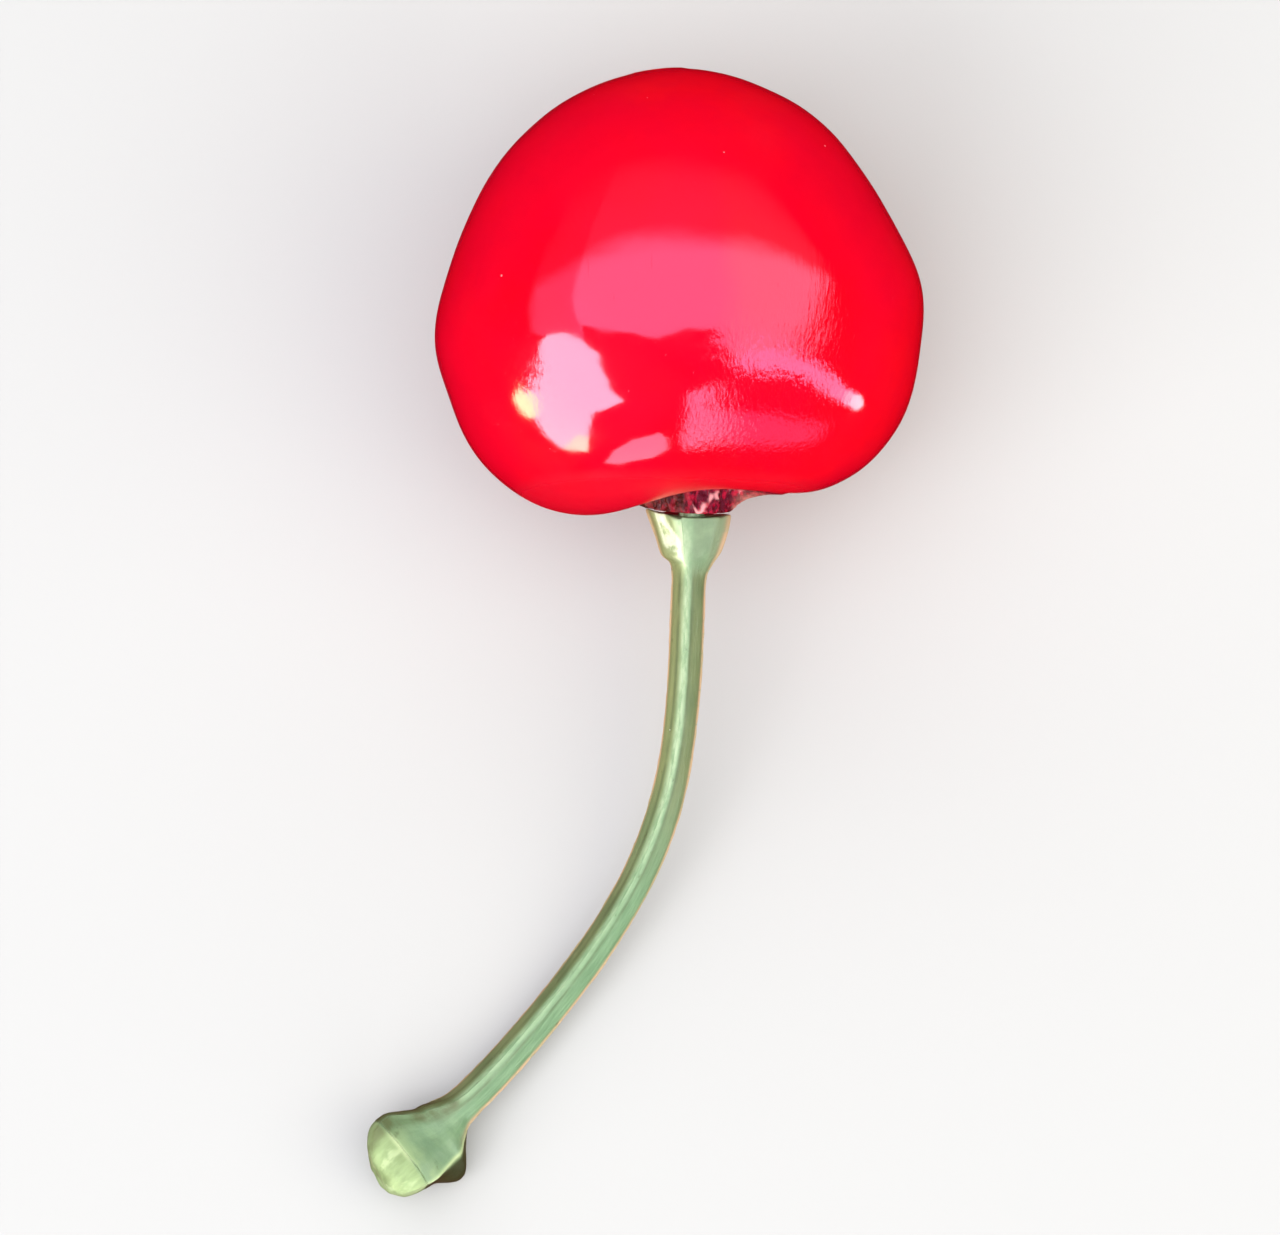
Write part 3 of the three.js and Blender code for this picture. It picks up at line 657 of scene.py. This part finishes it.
def fruit_material():
    made, n = new_material("lacquered_red_skin")
    out = n.add("ShaderNodeOutputMaterial")
    skin = n.add("ShaderNodeBsdfPrincipled")
    n.link(skin.outputs[0], out.inputs[0])
    own = n.attribute("own", vector=True)      # millimetres, fruit's own coordinates
    dimple, neck = n.attribute("dimple"), n.attribute("neck")

    # colour: clear red with soft deeper and warmer clouds; painted shade darkens the cavity and the neck, most on the
    # neck's left, and painted highlights lie on the crests of the neck's folds
    crest, lip, foot, brown = (n.attribute(k) for k in ("crest", "lip", "foot", "brown"))
    clouds = n.noise(own, 0.11, 3, 0.55)
    fine = n.noise(own, 0.9, 4, 0.6)
    red = n.mix(n.ramp(clouds, 0.36, 0.66), (0.62, 0.0006, 0.0135, 1), (0.68, 0.0010, 0.0085, 1))
    red = n.mix(n.math("MULTIPLY", n.ramp(fine, 0.35, 0.75), 0.30), red, (0.54, 0.0004, 0.0140, 1))
    # painted shade: darker red in the stalk's cavity
    red = n.mix(n.math("MULTIPLY", dimple, 0.50), red, (0.33, 0.0004, 0.006, 1))
    # painted shade on the neck: dark red, browner on its left side
    neck_shade_noise = n.noise(n.stretched(own, (1.9, 0.9, 1.9)), 1.5, 4, 0.65)
    dark = n.mix(n.ramp(neck_shade_noise, 0.44, 0.66), (0.075, 0.0006, 0.005, 1), (0.40, 0.0010, 0.020, 1))
    neck_left_shade = n.mix(n.ramp(neck_shade_noise, 0.42, 0.66), (0.040, 0.006, 0.003, 1), (0.20, 0.006, 0.008, 1))
    dark = n.mix(brown, dark, neck_left_shade)
    # painted shade: darker red near the stalk
    red = n.mix(n.math("MULTIPLY", n.attribute("rimline"), 0.35), red, (0.36, 0.0004, 0.008, 1))
    red = n.mix(neck, red, dark)
    # painted highlight: pale pink on the crests of the neck's folds
    crest_highlight = n.math("MULTIPLY", crest, n.ramp(n.noise(own, 1.1, 3, 0.5), 0.44, 0.58))
    red = n.mix(n.math("MULTIPLY", crest_highlight, 0.9), red, (0.76, 0.320, 0.330, 1))
    web_line = n.math("MULTIPLY", n.attribute("web_line"), n.ramp(n.noise(own, 1.4, 3, 0.6), 0.34, 0.56, 0.35, 0.95))
    red = n.mix(web_line, red, (0.56, 0.235, 0.190, 1))
    # pale peach crumbs at the foot of the neck's left side, and a painted highlight line along the cavity's rim
    crumbs_and_lip_highlight = n.math("MULTIPLY", n.math("MULTIPLY", foot, brown), n.ramp(n.noise(own, 1.7, 3, 0.6), 0.50, 0.60))
    crumbs_and_lip_highlight = n.math("MAXIMUM", crumbs_and_lip_highlight, n.math("MULTIPLY", n.math("MULTIPLY", lip, 0.75), n.ramp(n.noise(own, 1.3, 3, 0.6), 0.40, 0.60)))
    red = n.mix(n.math("MULTIPLY", crumbs_and_lip_highlight, 0.85), red, (0.52, 0.19, 0.115, 1))
    scar = n.attribute("scar")
    red = n.mix(n.math("MULTIPLY", scar, n.ramp(fine, 0.25, 0.6, 0.65, 0.95)), red, (0.130, 0.030, 0.016, 1))
    # dust: a few pale specks
    dust = n.specks(own, 0.42, 0.028, 0.30)
    dust_small = n.specks(n.stretched(own, (1, 1, 1), shift=(3.1, 7.7, 1.9)), 0.80, 0.034, 0.26)
    both = n.math("MAXIMUM", dust, dust_small)
    red = n.mix(n.math("MULTIPLY", both, 0.50), red, (0.80, 0.42, 0.42, 1))
    n.link(red, skin.inputs["Base Color"])

    # the lacquer: glossy, with finely brushed and handled patches
    rub = n.ramp(n.noise(own, 0.16, 3, 0.6), 0.52, 0.72)
    rough = n.math("MULTIPLY_ADD", rub, 0.06, 0.075)
    rough = n.math("MULTIPLY_ADD", both, 0.4, rough)
    rough = n.math("MULTIPLY_ADD", n.math("MAXIMUM", neck, n.math("MULTIPLY", scar, 1.6)), 0.16, rough)
    rough = n.math("MULTIPLY_ADD", n.attribute("rimline"), 0.22, rough)
    n.link(rough, skin.inputs["Roughness"])
    dull = n.math("MAXIMUM", n.math("MULTIPLY", neck, 0.72), n.math("MULTIPLY", n.attribute("rimline"), 0.8))
    n.link(n.math("SUBTRACT", 0.9, dull), skin.inputs["Specular IOR Level"])
    skin.inputs["Specular Tint"].default_value = (1.0, 0.50, 1.0, 1)
    skin.inputs["IOR"].default_value = 1.5
    skin.inputs["Subsurface Weight"].default_value = 0.06
    skin.inputs["Subsurface Radius"].default_value = (1.0, 0.12, 0.10)
    skin.inputs["Subsurface Scale"].default_value = 0.0015

    # relief: slow waviness, brush marks on one side, hairline scratches, specks
    slow = n.noise(own, 0.42, 2, 0.5)
    brush = n.noise(n.stretched(own, (4.2, 0.55, 4.2), turn=(0, 0, 14)), 1.0, 3, 0.6)
    where = n.add("ShaderNodeVectorMath", operation="DISTANCE")
    n.link(own, where.inputs[0])
    where.inputs[1].default_value = (6.0, -4.2, 8.6)
    local = n.ramp(where.outputs["Value"], 2.0, 6.2, 1.0, 0.0)
    where2 = n.add("ShaderNodeVectorMath", operation="DISTANCE")
    n.link(own, where2.inputs[0])
    where2.inputs[1].default_value = (-6.0, -6.0, 7.0)
    local2 = n.math("MULTIPLY", n.ramp(where2.outputs["Value"], 1.0, 3.6, 1.0, 0.0), 0.5)
    where3 = n.add("ShaderNodeVectorMath", operation="DISTANCE")
    n.link(own, where3.inputs[0])
    where3.inputs[1].default_value = (4.2, -7.4, 7.0)
    local3 = n.ramp(where3.outputs["Value"], 2.6, 5.6, 1.0, 0.0)
    brushed = n.math("MULTIPLY", brush, n.math("MAXIMUM", local3, n.math("MAXIMUM", local, local2)))
    lines = n.noise(n.stretched(own, (9.0, 0.10, 9.0), turn=(25, 18, 33)), 0.7, 2, 0.5)
    scratch = n.math("MULTIPLY", n.ramp(lines, 0.735, 0.76), -1.0)
    height = n.math("MULTIPLY_ADD", scratch, 0.25, slow)
    first = n.bump(height, 0.00003, 0.8)
    second = n.bump(brushed, 0.00003, 0.9, first)
    crumple = n.math("MULTIPLY", n.noise(n.stretched(own, (1.6, 1.0, 1.6)), 2.6, 4, 0.6), n.math("MAXIMUM", neck, n.math("MULTIPLY", dimple, 0.12)))
    third = n.bump(crumple, 0.00012, 1.0, second)
    fourth = n.bump(both, 0.00002, 0.8, third)
    n.link(fourth, skin.inputs["Normal"])
    return made


def stalk_material():
    made, n = new_material("moulded_green_stalk")
    out = n.add("ShaderNodeOutputMaterial")
    skin = n.add("ShaderNodeBsdfPrincipled")
    n.link(skin.outputs[0], out.inputs[0])
    grain = n.attribute("grain", vector=True)   # millimetres: round the section, along the stalk
    names = ("seam", "ridge", "left", "right", "under", "endface", "root", "fan", "rim", "facet", "strip", "lower", "shade", "grooves", "band", "blend", "edge_left")
    mask = {k: n.attribute(k) for k in names}
    times = lambda x, y: n.math("MULTIPLY", x, y)
    rest = lambda x: n.math("SUBTRACT", 1.0, x)

    fibres = n.noise(n.stretched(grain, (6.5, 0.45, 1)), 1.0, 4, 0.6)
    blotch = n.noise(n.stretched(grain, (0.7, 0.28, 1)), 1.0, 3, 0.55)
    mottle = n.noise(n.stretched(grain, (1.6, 1.1, 1)), 1.0, 4, 0.6)
    green = n.mix(n.ramp(fibres, 0.30, 0.72), (0.112, 0.208, 0.102, 1), (0.168, 0.285, 0.150, 1))
    olive = n.mix(n.ramp(blotch, 0.35, 0.68), (0.150, 0.172, 0.070, 1), (0.092, 0.122, 0.048, 1))
    straw = n.mix(n.ramp(fibres, 0.35, 0.7), (0.210, 0.225, 0.088, 1), (0.160, 0.185, 0.070, 1))
    gleam = n.noise(n.stretched(grain, (2.4, 0.75, 1)), 1.0, 3, 0.6)
    pale = n.mix(n.ramp(gleam, 0.36, 0.62), (0.205, 0.315, 0.170, 1), (0.370, 0.480, 0.295, 1))
    # above the bend the left strip is straw and the right olive; below it they change over
    above = rest(mask["lower"])
    # painted highlight: a pale streak along the ridge, fainter below the bend
    colour = n.mix(times(mask["ridge"], n.math("MULTIPLY_ADD", mask["lower"], -0.50, 0.95)), green, pale)
    off_ridge = rest(times(mask["ridge"], 0.8))
    colour = n.mix(times(times(times(mask["left"], above), off_ridge), 0.9), colour, straw)
    colour = n.mix(times(times(times(mask["left"], mask["lower"]), off_ridge), 0.9), colour, olive)
    colour = n.mix(times(times(times(mask["right"], above), rest(mask["root"])), 0.8), colour, olive)
    # painted shade: dark lines either side of the ridge
    ridge_side_shade = times(mask["grooves"], n.ramp(n.noise(n.stretched(grain, (0.8, 0.5, 1)), 1.0, 3, 0.6), 0.30, 0.60, 0.25, 0.75))
    colour = n.mix(ridge_side_shade, colour, (0.070, 0.098, 0.040, 1))
    # painted shade: the stalk's underside darker
    colour = n.mix(times(mask["under"], 0.75), colour, (0.060, 0.078, 0.026, 1))
    # the flared free end: grey-green hollow above; painted shade on the dark flank and in a dark band along its top,
    # and darker painted shadow underneath
    hollow = n.mix(n.ramp(mottle, 0.35, 0.68), (0.118, 0.200, 0.108, 1), (0.165, 0.262, 0.140, 1))
    colour = n.mix(times(times(mask["fan"], mask["right"]), 0.85), colour, hollow)
    flank_shade = n.mix(n.ramp(mottle, 0.38, 0.66), (0.030, 0.036, 0.010, 1), (0.090, 0.108, 0.040, 1))
    colour = n.mix(times(times(mask["fan"], mask["left"]), 0.9), colour, flank_shade)
    colour = n.mix(times(mask["band"], n.ramp(mottle, 0.34, 0.62, 0.95, 0.45)), colour, (0.078, 0.098, 0.036, 1))
    colour = n.mix(times(times(mask["fan"], mask["under"]), 0.9), colour, (0.024, 0.028, 0.008, 1))
    face = n.mix(n.ramp(mottle, 0.36, 0.64), (0.180, 0.250, 0.100, 1), (0.250, 0.345, 0.150, 1))
    face = n.mix(n.ramp(n.noise(n.stretched(grain, (1, 1, 1), shift=(5, 3, 0)), 1.6, 3, 0.6), 0.55, 0.70), face, (0.340, 0.430, 0.215, 1))
    # painted shade: the end face darker at its upper left and underneath
    face = n.mix(times(mask["shade"], n.ramp(mottle, 0.34, 0.64, 0.9, 0.5)), face, (0.105, 0.125, 0.050, 1))
    face = n.mix(times(mask["under"], 0.25), face, (0.045, 0.052, 0.016, 1))
    colour = n.mix(mask["endface"], colour, face)
    colour = n.mix(times(times(mask["blend"], mask["right"]), n.ramp(mottle, 0.30, 0.60, 0.2, 0.85)), colour, (0.225, 0.310, 0.135, 1))
    # the collar: straw edge, a painted highlight on its flat facet, darker middle and a lighter right strip
    middle = n.mix(n.ramp(mottle, 0.36, 0.66), (0.122, 0.185, 0.098, 1), (0.162, 0.240, 0.128, 1))
    colour = n.mix(times(times(mask["root"], mask["right"]), 0.9), colour, middle)
    colour = n.mix(times(mask["strip"], 0.8), colour, (0.185, 0.245, 0.140, 1))
    facet_highlight = n.mix(n.ramp(n.noise(n.stretched(grain, (2.6, 1.3, 1)), 1.0, 3, 0.6), 0.36, 0.54), (0.280, 0.350, 0.180, 1), (0.620, 0.680, 0.470, 1))
    colour = n.mix(mask["facet"], colour, facet_highlight)
    colour = n.mix(times(mask["edge_left"], 0.7), colour, (0.190, 0.195, 0.078, 1))
    # the joint's ragged fins are tan; pale yellow-green painted highlights run along the free end's edges and the
    # crease of its face
    ragged = times(mask["seam"], n.ramp(n.noise(n.stretched(grain, (1, 2.2, 1)), 1.0, 3, 0.6), 0.20, 0.46))
    tan = n.mix(n.ramp(blotch, 0.4, 0.62), (0.440, 0.265, 0.152, 1), (0.330, 0.240, 0.122, 1))
    colour = n.mix(times(ragged, 0.9), colour, tan)
    colour = n.mix(times(mask["rim"], n.ramp(mottle, 0.20, 0.50, 0.5, 0.95)), colour, (0.400, 0.490, 0.250, 1))
    stain = times(n.ramp(n.noise(n.stretched(grain, (2.2, 1.1, 1)), 1.0, 4, 0.6), 0.62, 0.73), 0.45)
    colour = n.mix(stain, colour, (0.045, 0.056, 0.018, 1))
    specks = n.specks(grain, 1.1, 0.050, 0.16)
    colour = n.mix(times(times(specks, rest(mask["endface"])), 0.7), colour, (0.80, 0.80, 0.72, 1))
    n.link(colour, skin.inputs["Base Color"])

    rough = n.math("MULTIPLY_ADD", fibres, 0.22, 0.27)
    rough = n.math("MULTIPLY_ADD", n.math("MAXIMUM", mask["seam"], mask["endface"]), 0.16, rough)
    n.link(n.math("MULTIPLY_ADD", mask["facet"], -0.12, rough), skin.inputs["Roughness"])
    skin.inputs["Specular IOR Level"].default_value = 0.55
    skin.inputs["IOR"].default_value = 1.47
    skin.inputs["Subsurface Weight"].default_value = 0.08
    skin.inputs["Subsurface Radius"].default_value = (0.6, 0.9, 0.4)
    skin.inputs["Subsurface Scale"].default_value = 0.0006

    ripple = n.noise(n.stretched(grain, (1.4, 0.5, 1)), 1.0, 3, 0.6)
    first = n.bump(ripple, 0.00010, 0.7)
    second = n.bump(fibres, 0.000035, 0.8, first)
    third = n.bump(n.noise(n.stretched(grain, (5, 5, 1)), 1.0, 3, 0.6), 0.000012, 0.8, second)
    n.link(third, skin.inputs["Normal"])
    return made


def wear(piece, material, node):
    piece.data.materials.clear()
    piece.data.materials.append(material)
    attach(piece, "root")
    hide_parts(node)


wear(fruit, fruit_material(), "fruit")
wear(stalk, stalk_material(), "stalk")


# -------------------------------------------------------- floor, light, camera

def make_floor():
    """A wide round floor that turns up softly at its far edge, so no horizon shows from any side."""
    radii = np.concatenate([[0.02, 0.05, 0.1, 0.2, 0.4, 0.7, 1.0], 1.0 + 0.35 * np.sin(np.linspace(0.1, 1.45, 14))])
    heights = np.concatenate([np.zeros(7), 0.20 * (1 - np.cos(np.linspace(0.1, 1.45, 14)))])
    a = np.linspace(0, 2 * math.pi, 129)[:-1]
    grid = np.stack([np.stack([r * np.cos(a), r * np.sin(a), np.full_like(a, h)], -1) for r, h in zip(radii, heights)])
    floor = grid_mesh("floor", grid / MM, True, False)
    floor.location.z = -0.00004
    made, n = new_material("pale_floor")
    out = n.add("ShaderNodeOutputMaterial")
    paint = n.add("ShaderNodeBsdfDiffuse")
    paint.inputs["Color"].default_value = (0.44, 0.44, 0.437, 1)
    # its upturned edge is kept as pale as the rest
    far = np.append(np.repeat(smooth(0.55, 1.05, radii), len(a)), 0.0)
    give(floor.data, "far", far)
    pale = n.add("ShaderNodeEmission")
    pale.inputs["Color"].default_value = (0.86, 0.86, 0.855, 1)
    blend = n.add("ShaderNodeMixShader")
    n.link(n.attribute("far"), blend.inputs[0])
    n.link(paint.outputs[0], blend.inputs[1])
    n.link(pale.outputs[0], blend.inputs[2])
    n.link(blend.outputs[0], out.inputs[0])
    made.cycles.emission_sampling = "NONE"
    floor.data.materials.append(made)
    floor.visible_glossy = False
    return floor


MIDDLE = Vector((0.002, 0.017, 0.011))


def softbox(name, way, size, light, far=0.7):
    """A rectangular fill light in the direction way, size its width and height in degrees, light its radiance. It leaves no reflection."""
    way = Vector(way).normalized()
    data = bpy.data.lights.new(name, "AREA")
    data.shape = "RECTANGLE"
    data.size = 2 * far * math.tan(math.radians(size[0] / 2))
    data.size_y = 2 * far * math.tan(math.radians(size[1] / 2))
    strength = max(light)
    data.color = [v / strength for v in light]
    data.energy = strength * math.pi * data.size * data.size_y
    lamp = bpy.data.objects.new(name, data)
    bpy.context.scene.collection.objects.link(lamp)
    lamp.location = MIDDLE + way * far
    lamp.rotation_mode = "QUATERNION"
    lamp.rotation_quaternion = way.to_track_quat("Z", "Y")
    lamp.visible_camera = False
    lamp.visible_glossy = False


def ceiling(x, y, high=0.6):
    """One level panel overhead between x and y limits, given as multiples of its height. It is brightest near its front edge and fades out to the back."""
    data = bpy.data.lights.new("overhead", "AREA")
    data.shape = "RECTANGLE"
    data.size, data.size_y = (x[1] - x[0]) * high, (y[1] - y[0]) * high
    data.energy = math.pi * data.size * data.size_y
    data.use_nodes = True
    n = Nodes(data.node_tree)
    out = n.add("ShaderNodeOutputLight")
    glow = n.add("ShaderNodeEmission")
    n.link(glow.outputs[0], out.inputs[0])
    place = n.add("ShaderNodeNewGeometry")
    split = n.add("ShaderNodeSeparateXYZ")
    n.link(place.outputs["Parametric"], split.inputs[0])
    # the panel's own two coordinates run along +X and +Y
    X = n.math("MULTIPLY_ADD", split.outputs[0], x[1] - x[0], x[0])
    Y = n.math("MULTIPLY_ADD", split.outputs[1], y[1] - y[0], y[0])
    to_right = n.ramp(X, 0.35, 0.65)
    from_left = n.ramp(X, -0.92, -0.82)
    light = n.mix(from_left, (0.95, 0.95, 1.15, 1), (2.55, 2.55, 2.70, 1))
    light = n.mix(to_right, light, (3.20, 3.15, 2.65, 1))
    front = n.math("MULTIPLY_ADD", from_left, 0.26, -0.90)
    front = n.math("MULTIPLY_ADD", to_right, -0.16, front)
    starts = n.ramp(n.math("SUBTRACT", Y, front), 0.0, 0.03)
    fades = n.math("ADD", n.ramp(Y, 0.12, 0.46, 0.86, 0.0), n.ramp(Y, 0.25, 1.95, 0.14, 0.0))
    sides = n.math("MULTIPLY", n.ramp(X, -2.35, -1.75), n.ramp(X, 2.0, 2.9, 1.0, 0.0))
    n.link(light, glow.inputs["Color"])
    n.link(n.math("MULTIPLY", n.math("MULTIPLY", starts, fades), sides), glow.inputs["Strength"])
    lamp = bpy.data.objects.new("overhead", data)
    bpy.context.scene.collection.objects.link(lamp)
    lamp.location = (MIDDLE.x + high * (x[0] + x[1]) / 2, MIDDLE.y + high * (y[0] + y[1]) / 2, high)
    lamp.visible_camera = False


def make_glow():
    """What the skin mirrors from below: a dim red bowl, as from neighbouring fruit. It is seen only in reflections and lights nothing."""
    down = np.radians(np.linspace(-89, 0, 24))
    a = np.linspace(0, 2 * math.pi, 65)[:-1]
    grid = np.stack([np.stack([1.5 * np.cos(d) * np.cos(a), 1.5 * np.cos(d) * np.sin(a), np.full_like(a, 1.5 * np.sin(d))], -1) for d in down])
    glow = grid_mesh("mirrored_bowl", grid / MM, True, False)
    made, n = new_material("mirrored_bowl_light")
    out = n.add("ShaderNodeOutputMaterial")
    light = n.add("ShaderNodeEmission")
    n.link(light.outputs[0], out.inputs[0])
    light.inputs["Color"].default_value = (0.16, 0.0015, 0.006, 1)
    made.cycles.emission_sampling = "NONE"
    glow.data.materials.append(made)
    seen_in_reflections_only(glow)


def seen_in_reflections_only(thing):
    thing.visible_camera = False
    thing.visible_diffuse = False
    thing.visible_transmission = False
    thing.visible_volume_scatter = False
    thing.visible_shadow = False


def card(name, corners, light, far=0.7):
    """A lit card, seen only in reflections: corners as azimuth and elevation in degrees, light its radiance."""
    ways = [Vector(polar(*c)) for c in corners]
    ahead = sum(ways, Vector()).normalized()
    points = [MIDDLE + w * (far / w.dot(ahead)) for w in ways]
    mesh = bpy.data.meshes.new(name)
    mesh.from_pydata([tuple(v) for v in points], [], [tuple(range(len(points)))])
    mesh.update()
    made, n = new_material(name + "_light")
    out = n.add("ShaderNodeOutputMaterial")
    glow = n.add("ShaderNodeEmission")
    n.link(glow.outputs[0], out.inputs[0])
    glow.inputs["Color"].default_value = tuple(light) + (1,)
    glow.inputs["Strength"].default_value = 1.0
    mesh.materials.append(made)
    thing = bpy.data.objects.new(name, mesh)
    bpy.context.scene.collection.objects.link(thing)
    seen_in_reflections_only(thing)


def polar(azimuth, elevation):
    a, e = math.radians(azimuth), math.radians(elevation)
    return (math.cos(a) * math.cos(e), math.sin(a) * math.cos(e), math.sin(e))


def make_light():
    """A dim even room, one broad panel overhead, a soft fill from the front, and cards low in front for the skin to mirror."""
    world = bpy.data.worlds.new("studio")
    bpy.context.scene.world = world
    world.use_nodes = True
    n = Nodes(world.node_tree)
    out = n.add("ShaderNodeOutputWorld")
    sky = n.add("ShaderNodeBackground")
    n.link(sky.outputs[0], out.inputs[0])
    sky.inputs["Color"].default_value = (0.17, 0.17, 0.172, 1)
    sky.inputs["Strength"].default_value = 1.0
    world.cycles_visibility.glossy = False
    ceiling((-2.4, 3.0), (-0.95, 2.0))
    softbox("fill_front_left", polar(-128, 32), (60, 48), (3.2, 3.2, 3.2))
    softbox("fill_front_right", polar(-50, 26), (56, 44), (1.9, 1.9, 1.9))
    softbox("fill_back", polar(95, 30), (90, 40), (1.8, 1.8, 1.8))
    card("front_left", [(-151, 29), (-141, 38), (-130, 41), (-110, 35), (-120, 24), (-114, -2), (-122, -3), (-142, 4),
                        (-152, 1), (-152, 6), (-149, 20)], (12.5, 12.5, 9.0))
    card("front_left_tip", [(-153, 0), (-153, 7), (-147, 11), (-143, 6), (-146, 1)], (22.0, 22.0, 7.0), 0.69)
    card("front_left_foot", [(-114, -2), (-122, -3), (-121, 6), (-116, 8)], (17.0, 17.0, 7.5), 0.69)
    card("front_low", [(-105, -10), (-105, 0), (-101, 8), (-94, 13), (-91, 8), (-91, -1), (-95, -9), (-100, -12)], (4.2, 4.2, 3.6))
    card("front_near", [(-85, 38), (-77, 41), (-68, 40), (-74, 31), (-73, 14), (-78, 0), (-85, -4), (-86, 3)], (4.0, 4.0, 3.9))
    card("front_band", [(-70, 24), (-56, 10), (-45, -9), (-51, -15), (-69, -8), (-77, -3)], (0.7, 0.7, 1.1), 0.72)
    card("right_streak", [(-56, 47), (-44, 45), (-26, 24), (-25, 5), (-22, -13), (-25, -20), (-31, -17), (-33, 0),
                          (-35, 17), (-42, 31), (-53, 40)], (4.3, 4.3, 4.6))
    card("right_tip", [(-26, -4), (-22, -13), (-25, -20), (-31, -17), (-31, -7)], (13.0, 13.0, 9.5), 0.69)


def make_camera():
    """Looks at the cherry as it was measured, before it was seated, so the seat's turn is in the camera too."""
    data = bpy.data.cameras.new("camera")
    camera = bpy.data.objects.new("camera", data)
    bpy.context.scene.collection.objects.link(camera)
    bpy.context.scene.camera = camera
    data.sensor_width = 36
    data.lens = 200
    azimuth, elevation = math.radians(6), math.radians(81.5)
    back = np.array([math.sin(azimuth) * math.cos(elevation), -math.cos(azimuth) * math.cos(elevation), math.sin(elevation)])
    right = unit(np.cross(np.array([0, 1.0, 0]), back))
    turn = seat_turn()
    back, right = turn @ back, turn @ right
    up = np.cross(back, right)
    centre = (SEAT_SHIFT - right * 2.12 - up * 16.957) * MM
    high = 0.0655                           # metres of height that the frame takes in
    half = math.atan(data.sensor_width / 2 / data.lens * 1235 / 1280)
    place = centre + back * (high / 2 / math.tan(half))
    camera.matrix_world = Matrix([[right[i], up[i], back[i], place[i]] for i in range(3)] + [[0, 0, 0, 1]])
    data.clip_start, data.clip_end = 0.01, 5


make_floor()
make_glow()
make_light()
make_camera()
bpy.context.scene.view_settings.view_transform = "Standard"
